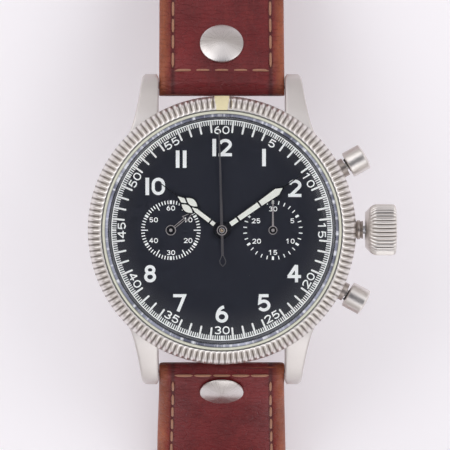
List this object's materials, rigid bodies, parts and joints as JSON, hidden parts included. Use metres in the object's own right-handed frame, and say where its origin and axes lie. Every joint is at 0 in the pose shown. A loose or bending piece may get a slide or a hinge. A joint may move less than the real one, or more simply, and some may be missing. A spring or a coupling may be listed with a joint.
{
  "type": "chronograph wristwatch",
  "caption": "Round steel chronograph wristwatch with a fluted turning bezel, black sub-dial face, crown, pushers and a riveted leather strap that stands open in an arch.",
  "frame": {"origin": "centre of the case back's outer face", "axes": "+Z out of the dial through the crystal, +Y to the 12 o'clock lugs and strap, +X to the crown at 3 o'clock"},
  "size_m": [0.0496, 0.2368, 0.0326],
  "materials": {
    "brushed_steel": "satin brushed stainless steel",
    "polished_steel": "polished stainless steel",
    "spring_steel": "hardened steel",
    "brass": "gilt brass",
    "nickel_plate": "nickel plated, matt",
    "dial_black": "matt blue-black lacquer with printed numerals and scales",
    "hand_black": "gloss black lacquer",
    "lume": "matt pale yellow luminous paint",
    "crystal": "clear domed glass",
    "crystal_seal": "pale yellow-green seal",
    "rubber": "black rubber",
    "leather": "glossy red-brown leather with burnished tan edges and tan stitching"
  },
  "bodies": {
    "case": {"mid_case": "brushed_steel", "case_back": "brushed_steel", "case_back_gasket": "rubber", "crystal": "crystal", "crystal_gasket": "crystal_seal", "flange_ring": "dial_black", "dial": "dial_black", "main_plate": "nickel_plate", "movement_ring": "brass", "train_bridge": "nickel_plate", "balance_cock": "nickel_plate", "chrono_bridge": "nickel_plate", "crown_tube": "polished_steel", "start_pusher_tube": "polished_steel", "reset_pusher_tube": "polished_steel", "spring_bar_12": "spring_steel", "spring_bar_6": "spring_steel", "bezel_spring": "spring_steel"},
    "bezel": {"bezel": "brushed_steel", "bezel_marker": "lume"},
    "clutch": {"clutch_wheel": "spring_steel"},
    "crown": {"crown": "brushed_steel", "winding_stem": "spring_steel", "crown_gasket": "rubber"},
    "setting_wheel": {"setting_wheel": "spring_steel"},
    "intermediate_wheel": {"intermediate_wheel": "spring_steel"},
    "minute_wheel": {"minute_wheel": "brass"},
    "minute_hand": {"minute_hand": "hand_black", "cannon_pinion": "spring_steel"},
    "hour_hand": {"hour_hand": "hand_black", "hour_wheel": "brass"},
    "small_seconds": {"small_seconds_hand": "hand_black", "fourth_wheel": "brass"},
    "third_wheel": {"third_wheel": "brass"},
    "centre_wheel": {"centre_wheel": "brass"},
    "barrel": {"barrel": "brass"},
    "escape_wheel": {"escape_wheel": "spring_steel"},
    "pallet_fork": {"pallet_fork": "spring_steel"},
    "balance": {"balance_wheel": "brass", "hairspring": "spring_steel"},
    "chrono_seconds": {"chrono_seconds_hand": "hand_black", "chrono_wheel": "brass"},
    "counter_transfer": {"counter_transfer_wheel": "brass"},
    "minute_counter": {"minute_counter_hand": "hand_black", "minute_counter_wheel": "brass"},
    "start_pusher": {"start_pusher": "polished_steel", "start_pusher_spring": "spring_steel"},
    "reset_pusher": {"reset_pusher": "polished_steel", "reset_pusher_spring": "spring_steel"},
    "start_lever": {"start_lever": "spring_steel"},
    "reset_hammer": {"reset_hammer": "spring_steel"},
    "strap_12": {"strap_12": "leather", "rivet_12": "brushed_steel", "fixed_keeper": "leather", "buckle_bar": "spring_steel"},
    "free_keeper": {"free_keeper": "leather"},
    "buckle_frame": {"buckle_frame": "polished_steel"},
    "buckle_tongue": {"buckle_tongue": "polished_steel"},
    "strap_6": {"strap_6": "leather", "rivet_6": "brushed_steel"}
  },
  "joints": [
    {"name": "bezel_turn", "type": "hinge", "parent": "case", "child": "bezel", "pos_m": [0, 0, 0.011], "axis": [0, 0, 1], "continuous": true},
    {"name": "crown_turn", "type": "hinge", "parent": "case", "child": "clutch", "pos_m": [0.011, 0, 0.007], "axis": [1, 0, 0], "continuous": true},
    {"name": "crown_pull", "type": "slide", "parent": "clutch", "child": "crown", "axis": [1, 0, 0], "range_m": [-0.0013, 0]},
    {"name": "setting_wheel_turn", "type": "hinge", "parent": "case", "child": "setting_wheel", "pos_m": [0.00952, -0.0012, 0.00845], "axis": [0, 0, 1], "continuous": true},
    {"name": "intermediate_wheel_turn", "type": "hinge", "parent": "case", "child": "intermediate_wheel", "pos_m": [0.00637, -0.00159, 0.00845], "axis": [0, 0, 1], "continuous": true},
    {"name": "minute_wheel_turn", "type": "hinge", "parent": "case", "child": "minute_wheel", "pos_m": [0.00249, -0.00144, 0.00845], "axis": [0, 0, 1], "continuous": true},
    {"name": "minute_hand_turn", "type": "hinge", "parent": "case", "child": "minute_hand", "pos_m": [0, 0, 0.009], "axis": [0, 0, 1], "continuous": true},
    {"name": "hour_hand_turn", "type": "hinge", "parent": "case", "child": "hour_hand", "pos_m": [0, 0, 0.009], "axis": [0, 0, 1], "continuous": true},
    {"name": "seconds_turn", "type": "hinge", "parent": "case", "child": "small_seconds", "pos_m": [-0.00815, 0, 0.007], "axis": [0, 0, 1], "continuous": true},
    {"name": "third_wheel_turn", "type": "hinge", "parent": "case", "child": "third_wheel", "pos_m": [-0.00442, -0.00085, 0.0057], "axis": [0, 0, 1], "continuous": true},
    {"name": "centre_wheel_turn", "type": "hinge", "parent": "case", "child": "centre_wheel", "pos_m": [0, 0, 0.0055], "axis": [0, 0, 1], "continuous": true},
    {"name": "barrel_turn", "type": "hinge", "parent": "case", "child": "barrel", "pos_m": [0.00424, 0.00424, 0.0058], "axis": [0, 0, 1], "continuous": true},
    {"name": "escape_wheel_turn", "type": "hinge", "parent": "case", "child": "escape_wheel", "pos_m": [-0.00935, -0.00331, 0.0057], "axis": [0, 0, 1], "continuous": true},
    {"name": "pallet_rock", "type": "hinge", "parent": "case", "child": "pallet_fork", "pos_m": [-0.00792, -0.00536, 0.0057], "axis": [0, 0, 1], "range_deg": [-5, 5]},
    {"name": "balance_swing", "type": "hinge", "parent": "case", "child": "balance", "pos_m": [-0.00614, -0.0079, 0.0052], "axis": [0, 0, 1], "range_deg": [-270, 270], "stiffness_Nm_per_rad": 0.000001, "deforming": ["hairspring"]},
    {"name": "chrono_seconds_turn", "type": "hinge", "parent": "case", "child": "chrono_seconds", "pos_m": [0, 0, 0.007], "axis": [0, 0, 1], "continuous": true},
    {"name": "counter_transfer_turn", "type": "hinge", "parent": "case", "child": "counter_transfer", "pos_m": [0.00401, 0.00038, 0.0039], "axis": [0, 0, 1], "continuous": true},
    {"name": "minute_counter_turn", "type": "hinge", "parent": "case", "child": "minute_counter", "pos_m": [0.00815, 0, 0.007], "axis": [0, 0, 1], "continuous": true},
    {"name": "start_push", "type": "slide", "parent": "case", "child": "start_pusher", "axis": [0.8746, 0.4848, 0], "range_m": [-0.001, 0], "stiffness_N_per_m": 1500, "springref_m": 0.001, "deforming": ["start_pusher_spring"]},
    {"name": "reset_push", "type": "slide", "parent": "case", "child": "reset_pusher", "axis": [0.8746, -0.4848, 0], "range_m": [-0.001, 0], "stiffness_N_per_m": 1500, "springref_m": 0.001, "deforming": ["reset_pusher_spring"]},
    {"name": "start_lever_swing", "type": "hinge", "parent": "case", "child": "start_lever", "pos_m": [0.0065, 0.0095, 0.0033], "axis": [0, 0, 1], "range_deg": [-9.63, 0]},
    {"name": "reset_hammer_swing", "type": "hinge", "parent": "case", "child": "reset_hammer", "pos_m": [0.004, -0.0115, 0.0033], "axis": [0, 0, 1], "range_deg": [0, 6.43]},
    {"name": "strap_12_swing", "type": "hinge", "parent": "case", "child": "strap_12", "pos_m": [0, 0.0232, 0.0039], "axis": [1, 0, 0], "range_deg": [-55, 55]},
    {"name": "strap_6_swing", "type": "hinge", "parent": "case", "child": "strap_6", "pos_m": [0, -0.0232, 0.0039], "axis": [-1, 0, 0], "range_deg": [-30, 80]},
    {"name": "free_keeper_slide", "type": "slide", "parent": "strap_12", "child": "free_keeper", "axis": [0, 0.9863, -0.1647], "range_m": [-0.01, 0.006]},
    {"name": "buckle_swing", "type": "hinge", "parent": "strap_12", "child": "buckle_frame", "pos_m": [0, 0.09337, -0.01461], "axis": [1, 0, 0], "range_deg": [-60, 30]},
    {"name": "tongue_swing", "type": "hinge", "parent": "buckle_frame", "child": "buckle_tongue", "pos_m": [0, 0.09337, -0.01461], "axis": [1, 0, 0], "range_deg": [0, 80]}
  ],
  "couplings": [
    {"joint": "setting_wheel_turn", "follows": "crown_turn", "ratio": -0.8},
    {"joint": "intermediate_wheel_turn", "follows": "crown_turn", "ratio": 0.66667},
    {"joint": "minute_wheel_turn", "follows": "crown_turn", "ratio": -0.53333},
    {"joint": "minute_hand_turn", "follows": "crown_turn", "ratio": 1.6},
    {"joint": "hour_hand_turn", "follows": "crown_turn", "ratio": 0.13333},
    {"joint": "third_wheel_turn", "follows": "seconds_turn", "ratio": -0.13333},
    {"joint": "centre_wheel_turn", "follows": "seconds_turn", "ratio": 0.016667},
    {"joint": "barrel_turn", "follows": "seconds_turn", "ratio": -0.002381},
    {"joint": "escape_wheel_turn", "follows": "seconds_turn", "ratio": -10},
    {"joint": "counter_transfer_turn", "follows": "chrono_seconds_turn", "ratio": -0.16667},
    {"joint": "minute_counter_turn", "follows": "chrono_seconds_turn", "ratio": 0.033333},
    {"joint": "start_lever_swing", "follows": "start_push", "rad_per_m": 167.85},
    {"joint": "reset_hammer_swing", "follows": "reset_push", "rad_per_m": -112.12}
  ]
}
